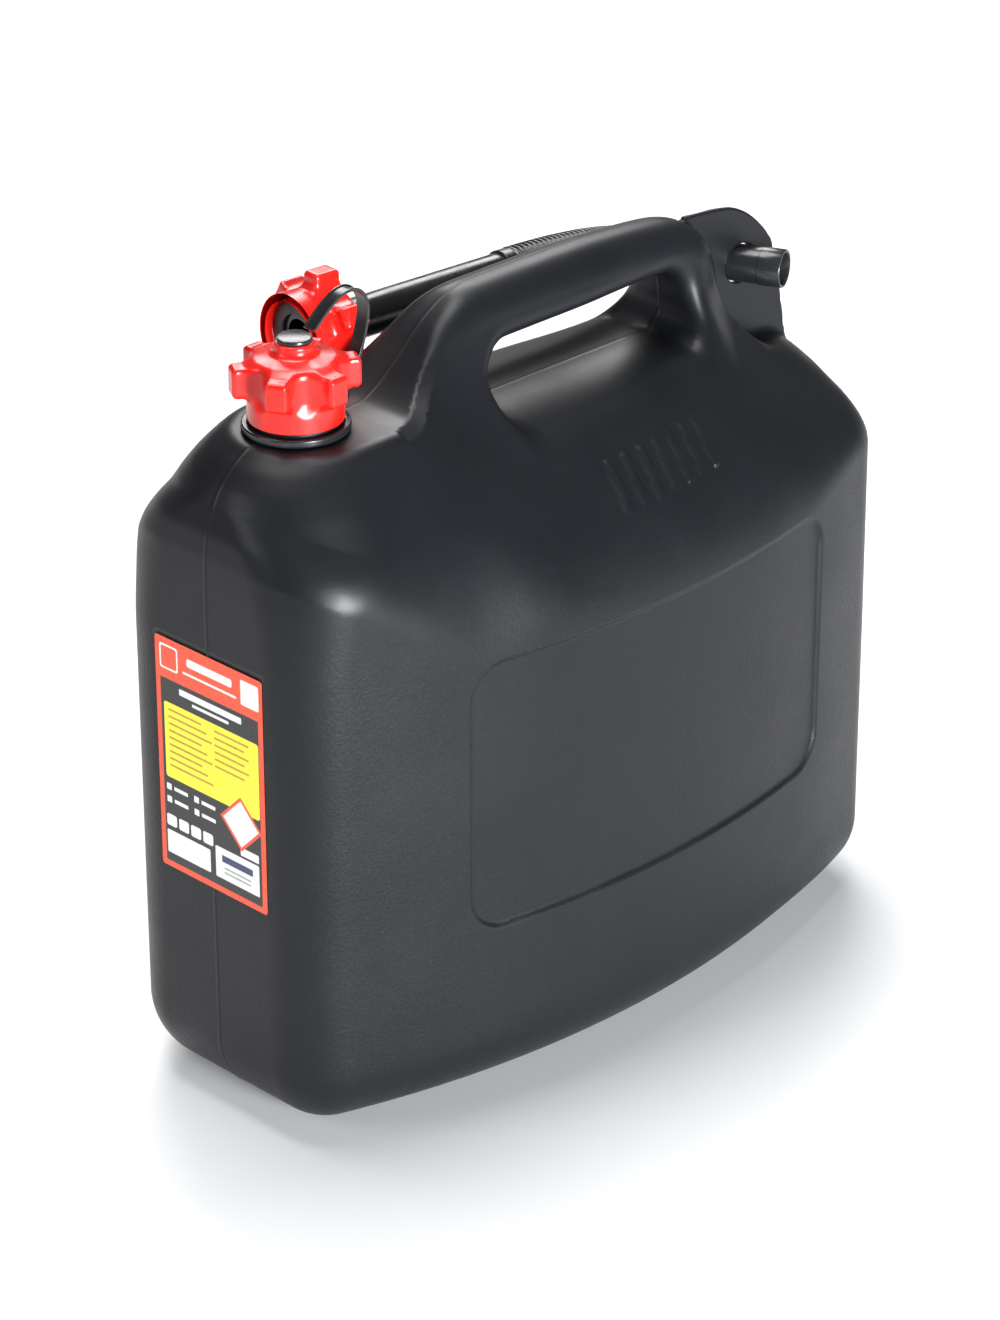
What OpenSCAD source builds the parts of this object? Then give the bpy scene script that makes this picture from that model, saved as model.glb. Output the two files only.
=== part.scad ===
// Jerry can with a screw cap on a tether and a flexible pouring spout stored behind the handle.
// X runs along the can with the neck at -X, Y is its thickness, Z is up, and the base stands on Z = 0.

/* [Can body] */
// Length of the can from end face to end face
can_len = 410; // [380:1:430]
// Greatest width of the can, at the middle of the bowed sides
can_wid = 205; // [190:1:220]
// Plan radius of the bowed sides
side_r = 535; // [450:5:700]
// Plan radius of the four upright corners
corner_r = 34; // [33:1:40]
// Radius of the edge round the base
base_r = 32; // [20:1:32]
// Wall thickness
wall = 2.5; // [2:0.1:4]

/* [Top of the can] */
// Height of the platform that carries the neck
platform_z = 344.5; // [340:0.5:350]
// Height of the floor under the handle
floor_z = 321; // [315:0.5:325]
// Height of the ledge behind the handle
ledge_z = 300; // [290:0.5:305]
// Height of the handle's top
handle_z = 386.5; // [384:0.5:390]
// Height of the handle's underside
grip_under_z = 358.5; // [354:0.5:360]
// Thickness of the upright web that holds the spout's tip
web_t = 4; // [3:0.5:6]

/* [Neck and cap] */
// Distance of the neck's axis from the middle of the can
neck_x = -145.5; // [-150:0.5:-140]
// Outer radius of the neck
neck_r = 18.5; // [18:0.1:18.5]
// Inner radius of the neck
neck_bore_r = 15.5; // [14:0.1:16]
// Height of the neck above the platform
neck_h = 22.5; // [20:0.5:22.5]
// Outer radius of the cap's skirt and of the spout nut's skirt
skirt_r = 23; // [22:0.1:23]
// Radius to the outer face of the grip lobes
lobe_r = 30.8; // [29:0.1:31]
// Number of grip lobes
lobe_count = 6; // [5:1:8]

/* [Label] */
// Width of the label
label_w = 75; // [60:1:76]
// Height of the label
label_h = 124; // [100:1:130]
// Thickness of the label, which lies flush in a shallow recess
label_t = 0.5; // [0.3:0.1:0.6]

/* [Spout] */
// Outer radius of the rigid pipe
pipe_r = 10.5; // [10:0.1:10.5]
// Outer radius of the flexible hose
hose_r = 12; // [11:0.1:12]
// Outer radius of the outlet's free end, which fits a petrol filler
tip_r = 10; // [9:0.1:10]
// Plan angle of the outlet from the can's length
tip_turn = -66.5; // [-70:0.5:-60]

/* [Hidden] */
$fn = 72;

can_black = [0.09, 0.09, 0.10];
trim_black = [0.05, 0.05, 0.055];
cap_red = [0.85, 0.10, 0.07];
label_red = [0.86, 0.22, 0.10];

half_len = can_len / 2;
half_wid = can_wid / 2;
side_cy = half_wid - side_r;
corner_x = half_len - corner_r;
corner_y = side_cy + sqrt(pow(side_r - corner_r, 2) - corner_x * corner_x);
tangent_a = atan2(corner_y - side_cy, corner_x);

neck_top_z = platform_z + neck_h;
collar_r = 21.8;
collar_h = 6.3;
skirt_z = platform_z + 7.3;
skirt_bore_r = neck_r + 0.4;
seal_t = 1.7;
cap_roof = neck_top_z + 0.1 + seal_t - skirt_z;
lobe_lo = 11.7;
lobe_hi = 26.7;
dome_z = 31.2;
boss_r = 9.8;
boss_top = 36.4;
stem_r = 4.5;
boss_bore_r = 4.55;
ring_out_r = 26;
ring_in_r = 22.2;
ring_gap = 0.3;
ring_h = 4;
button_r = 8.6;
button_t = 2.4;

nut_at = [-93.7, 59, 356.5];
pipe_turn = -4.5;
flange_at = 5.2;
flange_r = 18.3;
flange_t = 2.5;
spout_seal_t = 2;
pipe_end = 132;
pipe_bore_r = 8.7;
nut_bore_r = 11;
tip_at = [170, -23.2, 341.5];
tip_free = 12;
tip_len = 55;
tip_rear_r = 9.7;
tip_bore_r = 8;
hose_bore_r = 9;
web_hole_r = tip_r + 0.4;
web_back = tip_at[1] / sin(tip_turn);

function flip(list) = [for (i = [len(list) - 1:-1:0]) list[i]];
function arc(c, r, from, to, n) = [for (i = [0:n]) let (a = from + (to - from) * i / n) c + r * [cos(a), sin(a)]];
function cubic(a, b, c, d, t) =
    a * pow(1 - t, 3) + b * 3 * t * pow(1 - t, 2) + c * 3 * t * t * (1 - t) + d * pow(t, 3);

// One corner of an outline rounded with radius r, between its neighbours p and q
function rounded(p, c, q, r, n) =
    let (u = (p - c) / norm(p - c), v = (q - c) / norm(q - c), half = acos(u * v) / 2,
         m = c + (u + v) / norm(u + v) * r / sin(half),
         s = c + u * r / tan(half) - m, e = c + v * r / tan(half) - m,
         a = atan2(s[1], s[0]), turn = atan2(e[1], e[0]) - a,
         sweep = turn > 180 ? turn - 360 : turn < -180 ? turn + 360 : turn)
    [for (i = [0:n]) m + r * [cos(a + sweep * i / n), sin(a + sweep * i / n)]];
function rounded_outline(pts, radii, n) =
    [for (i = [0:len(pts) - 1]) each rounded(pts[(i + len(pts) - 1) % len(pts)], pts[i],
                                             pts[(i + 1) % len(pts)], radii[i], n)];

// Half of the plan outline from -X to +X: each entry is [x, half width, normal x, normal y]
side_x = [-165, -150, -128, -115, -104, -92, -78, -65, -52, -42, -22, 0, 30, 58, 90, 108, 118, 126, 132,
          136, 140, 146, 155, 168];
left_end = [[-half_len, corner_y, -1, 0]];
left_corner = [for (i = [1:4]) let (a = 180 - tangent_a * i / 4)
               [-corner_x + corner_r * cos(a), corner_y + corner_r * sin(a), cos(a), sin(a)]];
sides = [for (x = side_x) let (a = acos(x / side_r))
         [x, side_cy + side_r * sin(a), cos(a), sin(a)]];
function mirrored(list) = [for (p = flip(list)) [-p[0], p[1], -p[2], p[3]]];
outline = concat(left_end, left_corner, sides, mirrored(left_corner), mirrored(left_end));

// Tables along the can: the height of its top, the half width of its top edge, and the shape of its shoulders
top_z = [[-174, platform_z], [-108, platform_z], [-104, 345.5], [-92, 352], [-78, 363.5], [-65, 375],
         [-52, 383], [-42, 385.7], [-25, handle_z], [30, handle_z], [58, 385.2], [90, 382.3], [108, 379],
         [118, 374], [126, 365], [132, 353], [136, 339], [140, 326], [146, 315], [155, 306], [168, 301],
         [180, ledge_z]];
inner_top_z = [[-174, platform_z], [-108, platform_z], [-75, floor_z], [125, floor_z], [150, ledge_z]];
edge_y = [[-174, 41], [-115, 41], [-104, 34], [-92, 26], [-78, 19.5], [-65, 18.5], [118, 18.5], [134, 21],
          [160, 18], [200, 16]];
edge_drop = [[-174, 7], [-110, 7], [-80, 13], [110, 14], [145, 10], [200, 8]];
bend_z = [[-205, 288], [-195, 270], [-171, 254], [-110, 246], [0, 238], [110, 236], [171, 236], [205, 258]];
bend_rise = [[-205, 28], [-171, 30], [-60, 44], [100, 44], [171, 22], [205, 22]];
flare_y = [[-205, 9], [-171, 16], [-110, 16], [-60, 5], [110, 5], [150, 16], [205, 12]];
flare_z = [[-205, 2], [-171, 14], [-110, 14], [-60, 52], [110, 58], [150, 12], [205, 3]];
left_pull = 174 / 205;
right_pull = 199 / 205;

function pulled(x) = x * (x < 0 ? left_pull : right_pull);

// One point of the skin: p is an outline entry, t runs 0..1 up the shoulder, skin is the inset
function shoulder(p, t, skin, tops) =
    let (x = p[0] - skin * p[2], y = p[1] - skin * p[3], sx = pulled(p[0]),
         z3 = lookup(sx, tops) - lookup(sx, edge_drop) - skin,
         across = min(1, p[1] / (corner_y + corner_r * sin(tangent_a))),
         y3 = min(y, max(lookup(sx, edge_y) - skin, 4) * across))
    cubic([x, y, lookup(p[0], bend_z)],
          [x, y, lookup(p[0], bend_z) + lookup(p[0], bend_rise)],
          [(x + 3 * (sx - sign(sx) * skin)) / 4, y3 + lookup(sx, flare_y) * across, z3 - lookup(sx, flare_z)],
          [sx - sign(sx) * skin, y3, z3], t);
function crest(p, step, skin, tops) =
    let (s = shoulder(p, 1, skin, tops), drop = lookup(s[0], edge_drop))
    [s[0] * (1 - 0.01 * step), s[1] * (step == 1 ? 0.93 : 0.62), s[2] + drop * (step == 1 ? 0.72 : 1)];
function foot(p, a, skin) =
    let (inset = skin + (base_r - skin) * (1 - sin(a)))
    [p[0] - inset * p[2], p[1] - inset * p[3], skin + (base_r - skin) * (1 - cos(a))];

// A closed skin lofted through rings: each ring is the front half and the back half of the outline
module skin_of(rings) {
    n = len(rings[0]);
    m = 2 * n;
    pts = [for (ring = rings) each concat([for (p = ring) [p[0], -p[1], p[2]]], flip(ring))];
    walls = [for (k = [0:len(rings) - 2], i = [0:m - 1]) let (j = (i + 1) % m, b = k * m)
             each [[b + i, b + m + i, b + m + j], [b + i, b + m + j, b + j]]];
    top = (len(rings) - 1) * m;
    caps = [for (i = [0:n - 2]) let (j = i + 1, c = m - 2 - i, d = m - 1 - i)
            each [[i, j, c], [i, c, d], [top + i, top + c, top + j], [top + i, top + d, top + c]]];
    polyhedron(points = pts, faces = concat(walls, caps));
}

module outer_skin() {
    skin_of(concat([for (a = [0, 30, 60, 90]) [for (p = outline) foot(p, a, 0)]],
                   [for (t = [0, 0.2, 0.4, 0.6, 0.8, 1]) [for (p = outline) shoulder(p, t, 0, top_z)]],
                   [for (s = [1, 2]) [for (p = outline) crest(p, s, 0, top_z)]]));
}

module cavity() {
    few = [for (i = [0:len(outline) - 1]) if (i < 5 || i > len(outline) - 6 || i % 2 == 0) outline[i]];
    skin_of(concat([for (a = [0, 45, 90]) [for (p = few) foot(p, a, wall)]],
                   [for (t = [0, 0.33, 0.66, 1]) [for (p = few) shoulder(p, t, wall, inner_top_z)]],
                   [[for (p = few) crest(p, 2, wall, inner_top_z)]]));
}

module upright_plate(outline_xz, t) {
    rotate([90, 0, 0]) translate([0, 0, -t / 2]) linear_extrude(t) polygon(outline_xz);
}

module grip_opening() {
    upright_plate(rounded_outline([[-66, floor_z], [103, floor_z], [99, grip_under_z], [-31, grip_under_z]],
                                  [14, 12, 12, 14], 6), can_wid);
}

module tip_web() {
    upright_plate(concat([[118, 285], [196, 285], [196, ledge_z]], arc([144, 333], 42.5, 17, 90, 8),
                         [[118, 377]]), web_t);
}

module neck_outside() {
    translate([neck_x, 0, platform_z - 4]) cylinder(r = collar_r, h = collar_h + 4);
    translate([neck_x, 0, platform_z - 4]) cylinder(r = neck_r, h = neck_h + 4);
}

module can_body() {
    color(can_black) difference() {
        union() {
            outer_skin();
            tip_web();
            neck_outside();
        }
        grip_opening();
        cavity();
        translate([neck_x, 0, platform_z - 20]) cylinder(r = neck_bore_r, h = neck_h + 30);
        along_tip() translate([0, 0, tip_len - web_back - 9]) cylinder(r = web_hole_r, h = 18);
        translate([-half_len - 1, -label_w / 2 - 0.5, 184.5 - label_h / 2 - 0.5])
            cube([1 + label_t, label_w + 1, label_h + 1]);
    }
}

module label() {
    color(label_red) translate([-half_len, -label_w / 2, 184.5 - label_h / 2])
        cube([label_t, label_w, label_h]);
}

// A round collar lies on the platform round the neck, with a short tab where the strap is moulded on
module tether_ring() {
    color(trim_black) translate([neck_x, 0, platform_z + ring_gap]) difference() {
        union() {
            cylinder(r = ring_out_r, h = ring_h);
            translate([ring_in_r + 1, -3.75, 0]) cube([4.6, 7.5, ring_h]);
        }
        translate([0, 0, -1]) cylinder(r = ring_in_r, h = ring_h + 2);
    }
}

// The strap's middle line in the XZ plane, from the button over the cap's edge down to the ring
strap_knots = [[-135.9, 390.8], [-128, 398], [-120, 405], [-112, 404.5], [-104, 404], [-100.5, 396],
               [-102, 388], [-104, 376], [-112, 359], [-116.6, 350.1]];
strap_t = 1.8;
strap_w = 7.5;
function strap_at(k, t) = cubic(strap_knots[k], strap_knots[k + 1], strap_knots[k + 2], strap_knots[k + 3], t);
function strap_side(k, t, off) =
    let (d = strap_at(k, min(1, t + 0.02)) - strap_at(k, max(0, t - 0.02)))
    strap_at(k, t) + off * [-d[1], d[0]] / norm(d);
function strap_edge(off) = [for (k = [0, 3, 6], i = [(k == 0 ? 0 : 1):8]) strap_side(k, i / 8, off)];

module tether_strap() {
    color(trim_black) upright_plate(concat(strap_edge(strap_t / 2), flip(strap_edge(-strap_t / 2))), strap_w);
}

module tether_button() {
    color(trim_black) translate([neck_x, 0, skirt_z]) {
        translate([0, 0, boss_top + 0.1]) cylinder(r = button_r, h = button_t);
        translate([0, 0, boss_top - 7]) cylinder(r = stem_r, h = 7.2);
    }
}

// Cap and nut share one shell with grip lobes, open at Z = 0 with its roof at the given depth
module lobed_shell(roof) {
    difference() {
        union() {
            rotate_extrude() polygon([[0, 0], [skirt_r, 0], [skirt_r, 25.5], [21.4, 28.2],
                                      [boss_r, dome_z], [0, dome_z]]);
            for (i = [0:lobe_count - 1]) rotate([0, 0, 30 + 360 / lobe_count * i]) grip_lobe();
        }
        translate([0, 0, -1]) cylinder(r = skirt_bore_r, h = roof + 1);
    }
}

module grip_lobe() {
    w = 6.5;
    r = 3.5;
    translate([skirt_r - 5, -w, lobe_lo]) cube([lobe_r - skirt_r + 5 - r, 2 * w, lobe_hi - lobe_lo]);
    translate([skirt_r - 5, r - w, lobe_lo]) cube([lobe_r - skirt_r + 5, 2 * (w - r), lobe_hi - lobe_lo]);
    for (s = [-1, 1]) translate([lobe_r - r, s * (w - r), lobe_lo]) cylinder(r = r, h = lobe_hi - lobe_lo);
}

module filler_cap() {
    color(cap_red) translate([neck_x, 0, skirt_z]) difference() {
        union() {
            lobed_shell(cap_roof);
            translate([0, 0, dome_z - 3]) cylinder(r = boss_r, h = boss_top - dome_z + 3);
        }
        translate([0, 0, cap_roof - 1]) cylinder(r = 15, h = 7);
        translate([0, 0, boss_top - 8]) cylinder(r = boss_bore_r, h = 10);
    }
}

module cap_seal() {
    color("dimgray") translate([neck_x, 0, neck_top_z + 0.1]) difference() {
        cylinder(r = neck_r, h = seal_t);
        translate([0, 0, -1]) cylinder(r = 10, h = seal_t + 2);
    }
}

// Places its children with their Z axis along the stored pipe, starting at the nut's open rim
module along_pipe() {
    translate(nut_at) rotate([0, 0, pipe_turn]) rotate([0, 90, 0]) children();
}

module spout_nut() {
    color(cap_red) along_pipe() rotate([0, 0, 30]) difference() {
        lobed_shell(17);
        cylinder(r = nut_bore_r, h = 60);
    }
}

module spout_seal() {
    color("dimgray") along_pipe() translate([0, 0, flange_at - spout_seal_t]) difference() {
        cylinder(r = flange_r - 0.3, h = spout_seal_t);
        translate([0, 0, -1]) cylinder(r = 11.5, h = spout_seal_t + 2);
    }
}

module spout_pipe() {
    color(trim_black) along_pipe() difference() {
        union() {
            translate([0, 0, flange_at]) cylinder(r = flange_r, h = flange_t);
            translate([0, 0, flange_at]) cylinder(r = pipe_r, h = pipe_end - flange_at);
        }
        cylinder(r = pipe_bore_r, h = pipe_end + 10);
    }
}

// The flexible hose runs from the pipe's end round the handle's post to the outlet
pipe_dir = [cos(pipe_turn), sin(pipe_turn), 0];
tip_dir = [cos(tip_turn), sin(tip_turn), 0];
hose_a = nut_at + pipe_end * pipe_dir;
hose_d = tip_at - tip_len * tip_dir;
hose_steps = 16;
hose_sides = 12;
function hose_point(t) = cubic(hose_a, hose_a + 72 * pipe_dir, hose_d - 27 * tip_dir, hose_d, t);
function hose_dir(t) =
    t <= 0 ? pipe_dir : t >= 1 ? tip_dir :
    let (d = hose_point(t + 0.01) - hose_point(t - 0.01)) d / norm(d);
function hose_ring(t, r) =
    let (d = hose_dir(t), u = cross([0, 0, 1], d) / norm(cross([0, 0, 1], d)), v = cross(d, u))
    [for (i = [0:hose_sides - 1]) let (a = 360 * i / hose_sides) hose_point(t) + r * (cos(a) * u + sin(a) * v)];

module spout_hose() {
    rings = concat([for (i = [0:hose_steps]) hose_ring(i / hose_steps, hose_r)],
                   [for (i = [hose_steps:-1:0]) hose_ring(i / hose_steps, hose_bore_r)]);
    n = len(rings);
    faces = [for (k = [0:n - 1], i = [0:hose_sides - 1])
             let (a = k * hose_sides, b = ((k + 1) % n) * hose_sides, j = (i + 1) % hose_sides)
             each [[a + i, b + i, b + j], [a + i, b + j, a + j]]];
    color(trim_black) polyhedron(points = [for (ring = rings) each ring], faces = faces);
}

// Places its children with their Z axis along the outlet, from the hose's end towards the rim
module along_tip() {
    translate(tip_at - tip_len * tip_dir) rotate([0, 0, tip_turn]) rotate([0, 90, 0]) children();
}

module spout_outlet() {
    color(trim_black) along_tip() difference() {
        union() {
            cylinder(r = tip_rear_r, h = tip_len - 1);
            translate([0, 0, tip_len - tip_free]) cylinder(r = tip_r, h = tip_free);
        }
        translate([0, 0, -1]) cylinder(r = tip_bore_r, h = tip_len + 2);
    }
}

// A thin air tube lies against the outlet's bore so that the can breathes while it pours
module air_tube() {
    color("dimgray") along_tip() translate([-tip_bore_r + 2.6, 0, 3]) difference() {
        cylinder(r = 2.5, h = tip_len - 6);
        translate([0, 0, -1]) cylinder(r = 1.6, h = tip_len);
    }
}

can_body();
label();
tether_ring();
tether_strap();
tether_button();
filler_cap();
cap_seal();
spout_nut();
spout_seal();
spout_pipe();
spout_hose();
spout_outlet();
air_tube();
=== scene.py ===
"""The looks of the jerry can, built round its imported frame.

Lengths are in millimetres while a shape is worked out, and metres once it is a mesh.
Soft moulded shapes are fields: functions that are below zero inside the plastic, about in
millimetres, which surface_net() turns into quads.
"""

import math

import bpy
import numpy as np
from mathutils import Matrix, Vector


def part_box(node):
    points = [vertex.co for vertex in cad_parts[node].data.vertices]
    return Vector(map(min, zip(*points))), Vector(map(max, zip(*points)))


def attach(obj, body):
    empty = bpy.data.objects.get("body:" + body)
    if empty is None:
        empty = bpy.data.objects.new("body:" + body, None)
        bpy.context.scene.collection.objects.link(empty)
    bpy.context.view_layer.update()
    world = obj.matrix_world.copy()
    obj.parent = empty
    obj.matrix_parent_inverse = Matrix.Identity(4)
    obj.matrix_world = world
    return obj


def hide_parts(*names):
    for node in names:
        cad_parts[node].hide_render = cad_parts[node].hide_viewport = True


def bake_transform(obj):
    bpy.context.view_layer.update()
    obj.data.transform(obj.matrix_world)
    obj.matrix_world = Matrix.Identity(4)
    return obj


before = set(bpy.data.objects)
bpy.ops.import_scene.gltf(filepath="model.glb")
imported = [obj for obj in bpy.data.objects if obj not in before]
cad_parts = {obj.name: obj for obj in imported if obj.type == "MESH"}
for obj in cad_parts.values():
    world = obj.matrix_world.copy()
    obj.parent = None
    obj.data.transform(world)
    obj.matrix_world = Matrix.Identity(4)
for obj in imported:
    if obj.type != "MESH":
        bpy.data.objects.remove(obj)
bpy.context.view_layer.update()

MM = 0.001


def corners(node):
    """The lowest and highest corner of a CAD node, in millimetres."""
    low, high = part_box(node)
    return np.array(low) / MM, np.array(high) / MM


# ---------------------------------------------------------------- numbers along a line

def ease(a, b, x):
    """0 below a, 1 above b, and smooth between."""
    t = np.clip((x - a) / (b - a), 0, 1)
    return t * t * (3 - 2 * t)


def stations(x, stops):
    """The value at x of a smooth line through stops, a list of (place, value)."""
    value = np.full_like(x, stops[0][1], dtype=float)
    for (x0, v0), (x1, v1) in zip(stops, stops[1:]):
        value = value + (v1 - v0) * ease(x0, x1, x)
    return value


def curve(points, n=6):
    """A smooth line through points, n pieces between each two (Catmull-Rom)."""
    p = np.array(points, float)
    p = np.vstack([2 * p[0] - p[1], p, 2 * p[-1] - p[-2]])
    t = np.linspace(0, 1, n, endpoint=False)[:, None]
    spans = [
        0.5 * (2 * b + (c - a) * t + (2 * a - 5 * b + 4 * c - d) * t**2
               + (3 * b - a - 3 * c + d) * t**3)
        for a, b, c, d in zip(p, p[1:], p[2:], p[3:])
    ]
    return np.vstack(spans + [p[-2:-1]])


def rounded(points, radii, n=8):
    """A closed outline with each corner rounded."""
    p = np.array(points, float)
    out = []
    for i, r in enumerate(radii):
        u, v = p[i - 1] - p[i], p[(i + 1) % len(p)] - p[i]
        u, v = u / np.linalg.norm(u), v / np.linalg.norm(v)
        half = math.acos(np.clip(u @ v, -1, 1)) / 2
        centre = p[i] + (u + v) / np.linalg.norm(u + v) * r / math.sin(half)
        s, e = p[i] + u * r / math.tan(half) - centre, p[i] + v * r / math.tan(half) - centre
        a0 = math.atan2(s[1], s[0])
        turn = (math.atan2(e[1], e[0]) - a0 + math.pi) % (2 * math.pi) - math.pi
        a = a0 + turn * np.linspace(0, 1, n)
        out.append(centre + r * np.column_stack([np.cos(a), np.sin(a)]))
    return np.vstack(out)


def lines(stops):
    """Grid lines from stops, a list of (place, spacing from there on), to the last place."""
    out = [stops[0][0]]
    for (start, step), (end, _) in zip(stops, stops[1:]):
        n = max(1, round((end - start) / step))
        out += list(np.linspace(start, end, n + 1)[1:])
    return np.array(out, float)


# ---------------------------------------------------------------- fields

def round_max(a, b, r, lean=0.0):
    """Both a and b, with their common edge rounded to radius r. lean: the cosine between normals."""
    u, v = a + r, b + r
    arc_part = (u > lean * v) & (v > lean * u)
    far = np.sqrt(np.maximum(u * u + v * v - 2 * lean * u * v, 0) / (1 - lean * lean))
    return np.where(arc_part, far - r, np.maximum(a, b))


def round_min(a, b, r):
    """a or b, with a fillet of radius r where they meet."""
    return -round_max(-a, -b, r)


def soft_min(a, b, k):
    h = np.maximum(k - np.abs(a - b), 0) / k
    return np.minimum(a, b) - h * h * k / 4


def soft_max(a, b, k):
    return -soft_min(-a, -b, k)


def outline_distance(x, z, outline):
    """Signed distance to a closed outline, below zero inside."""
    best = np.full(x.shape, 1e9)
    inside = np.zeros(x.shape, bool)
    for (ax, az), (bx, bz) in zip(outline, np.roll(outline, -1, axis=0)):
        ex, ez = bx - ax, bz - az
        length2 = ex * ex + ez * ez
        if length2 < 1e-9:
            continue
        t = np.clip(((x - ax) * ex + (z - az) * ez) / length2, 0, 1)
        best = np.minimum(best, (x - ax - t * ex) ** 2 + (z - az - t * ez) ** 2)
        if ez:
            crosses = ((az > z) != (bz > z)) & (x < ex * (z - az) / ez + ax)
            inside ^= crosses
    return np.where(inside, -1, 1) * np.sqrt(best)


class Table:
    """A function of (x, z) worked out once on a grid, and read between its points."""

    def __init__(self, function, low, high, step):
        self.low, self.step = low, step
        xs = np.arange(low[0], high[0] + step, step)
        zs = np.arange(low[1], high[1] + step, step)
        self.values = function(*np.meshgrid(xs, zs, indexing="ij"))

    def __call__(self, x, z):
        nx, nz = self.values.shape
        u = np.clip((x - self.low[0]) / self.step, 0, nx - 1.001)
        v = np.clip((z - self.low[1]) / self.step, 0, nz - 1.001)
        i, j = u.astype(int), v.astype(int)
        u, v = u - i, v - j
        t = self.values
        return ((t[i, j] * (1 - u) + t[i + 1, j] * u) * (1 - v)
                + (t[i, j + 1] * (1 - u) + t[i + 1, j + 1] * u) * v)


def slope(field, points, step):
    """The field's gradient at each point."""
    out = np.empty_like(points)
    for k in range(3):
        d = np.zeros(3)
        d[k] = step
        out[:, k] = (field(points + d) - field(points - d)) / (2 * step)
    return out


def settle(field, points, step=0.3, rounds=4, reach=1.5):
    """Moves points on to the field's zero surface, and gives them with their normals."""
    for _ in range(rounds):
        g = slope(field, points, step)
        move = field(points)[:, None] * g / np.maximum((g * g).sum(1), 0.05)[:, None]
        size = np.linalg.norm(move, axis=1, keepdims=True)
        points = points - move * np.minimum(1, reach / np.maximum(size, 1e-9))
    g = slope(field, points, step * 1.5)
    return points, g / np.maximum(np.linalg.norm(g, axis=1, keepdims=True), 1e-9)


def surface_net(field, xs, ys, zs):
    """Quads on the zero surface of a field, found on a grid of lines."""
    grid = np.stack(np.meshgrid(xs, ys, zs, indexing="ij"), -1)
    values = field(grid.reshape(-1, 3)).reshape(grid.shape[:3])
    inside = values < 0
    cells = tuple(n - 1 for n in inside.shape)
    total, count = np.zeros(cells + (3,)), np.zeros(cells)
    full = [slice(None)] * 3

    def cut(array, axis, part):
        key = list(full)
        key[axis] = part
        return array[tuple(key)]

    low, high = slice(None, -1), slice(1, None)
    crossings = []
    for axis in range(3):
        a, b = cut(values, axis, low), cut(values, axis, high)
        crosses = cut(inside, axis, low) != cut(inside, axis, high)
        t = np.where(crosses, a / np.where(crosses, a - b, 1), 0)[..., None]
        place = (cut(grid, axis, low) * (1 - t) + cut(grid, axis, high) * t) * crosses[..., None]
        u, v = (axis + 1) % 3, (axis + 2) % 3
        for du in (low, high):
            for dv in (low, high):
                total += cut(cut(place, u, du), v, dv)
                count += cut(cut(crosses, u, du), v, dv)
        crossings.append(crosses)
    ids = np.where(count > 0, np.cumsum((count > 0).ravel()).reshape(cells) - 1, -1)
    points = total[count > 0] / count[count > 0][:, None]
    quads = []
    for axis, crosses in enumerate(crossings):
        u, v = (axis + 1) % 3, (axis + 2) % 3
        at = np.argwhere(crosses)
        at = at[(at[:, u] > 0) & (at[:, v] > 0) & (at[:, u] < cells[u]) & (at[:, v] < cells[v])]
        ring = []
        for du, dv in ((1, 1), (0, 1), (0, 0), (1, 0)):
            cell = at.copy()
            cell[:, u] -= du
            cell[:, v] -= dv
            ring.append(ids[tuple(cell.T)])
        ring = np.column_stack(ring)
        flip = ~inside[tuple(at.T)]
        ring[flip] = ring[flip][:, ::-1]
        quads.append(ring)
    return points, np.vstack(quads)


# ---------------------------------------------------------------- pieces

def piece(name, points, faces, material, normals=None):
    """A smooth mesh object from points in millimetres."""
    mesh = bpy.data.meshes.new(name)
    mesh.from_pydata((np.asarray(points) * MM).tolist(), [], [list(f) for f in faces])
    mesh.polygons.foreach_set("use_smooth", [True] * len(mesh.polygons))
    mesh.validate()
    if normals is not None:
        mesh.normals_split_custom_set_from_vertices(normals.tolist())
    mesh.update()
    made = bpy.data.objects.new(name, mesh)
    bpy.context.scene.collection.objects.link(made)
    made.data.materials.append(material)
    return made


def field_piece(name, field, grid, material, step=0.3, turn=np.eye(3), origin=(0, 0, 0), box=None):
    """A piece whose surface is a field's zero surface, turned and moved to its place, and kept in box."""
    points, quads = surface_net(field, *grid)
    points, normals = settle(field, points, step)
    if box:
        points = np.clip(points, *box)
    return piece(name, points @ turn.T + np.array(origin), quads, material, normals @ turn.T)


def tube_faces(rings, sides, closed=False):
    """Quads between rings of points that follow one another."""
    out = []
    for k in range(rings if closed else rings - 1):
        a, b = k * sides, ((k + 1) % rings) * sides
        out += [(a + i, a + (i + 1) % sides, b + (i + 1) % sides, b + i) for i in range(sides)]
    return out


def turned(origin, axis, up, profile, sides):
    """Points of a profile of (along, radius) turned about an axis, and the two cross directions."""
    axis = np.array(axis, float) / np.linalg.norm(axis)
    u = np.cross(up, axis)
    u /= np.linalg.norm(u)
    v = np.cross(axis, u)
    a = np.linspace(0, 2 * math.pi, sides, endpoint=False)
    ring = np.cos(a)[:, None] * u + np.sin(a)[:, None] * v
    return np.vstack([origin + h * axis + r * ring for h, r in profile])


def profile_piece(name, origin, axis, profile, material, sides=96, closed=True):
    """A turned piece. A closed profile comes back to its start, as a tube's does."""
    up = (1, 0, 0) if abs(axis[2]) > 0.9 else (0, 0, 1)
    points = turned(np.array(origin, float), axis, up, profile, sides)
    faces = tube_faces(len(profile), sides, closed)
    if not closed:
        faces += [tuple(range(sides))[::-1], tuple(range(len(points) - sides, len(points)))]
    made = piece(name, points, faces, material)
    return made


def keep_edges(made, degrees=35, width=0.0):
    """Sharp edges stay sharp in the shading, with a small bevel if width is given."""
    if width:
        bevel = made.modifiers.new("bevel", "BEVEL")
        bevel.width = width * MM
        bevel.segments = 2
        bevel.angle_limit = math.radians(degrees)
        bevel.harden_normals = False
    made.data.set_sharp_from_angle(angle=math.radians(degrees))
    return made


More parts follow.
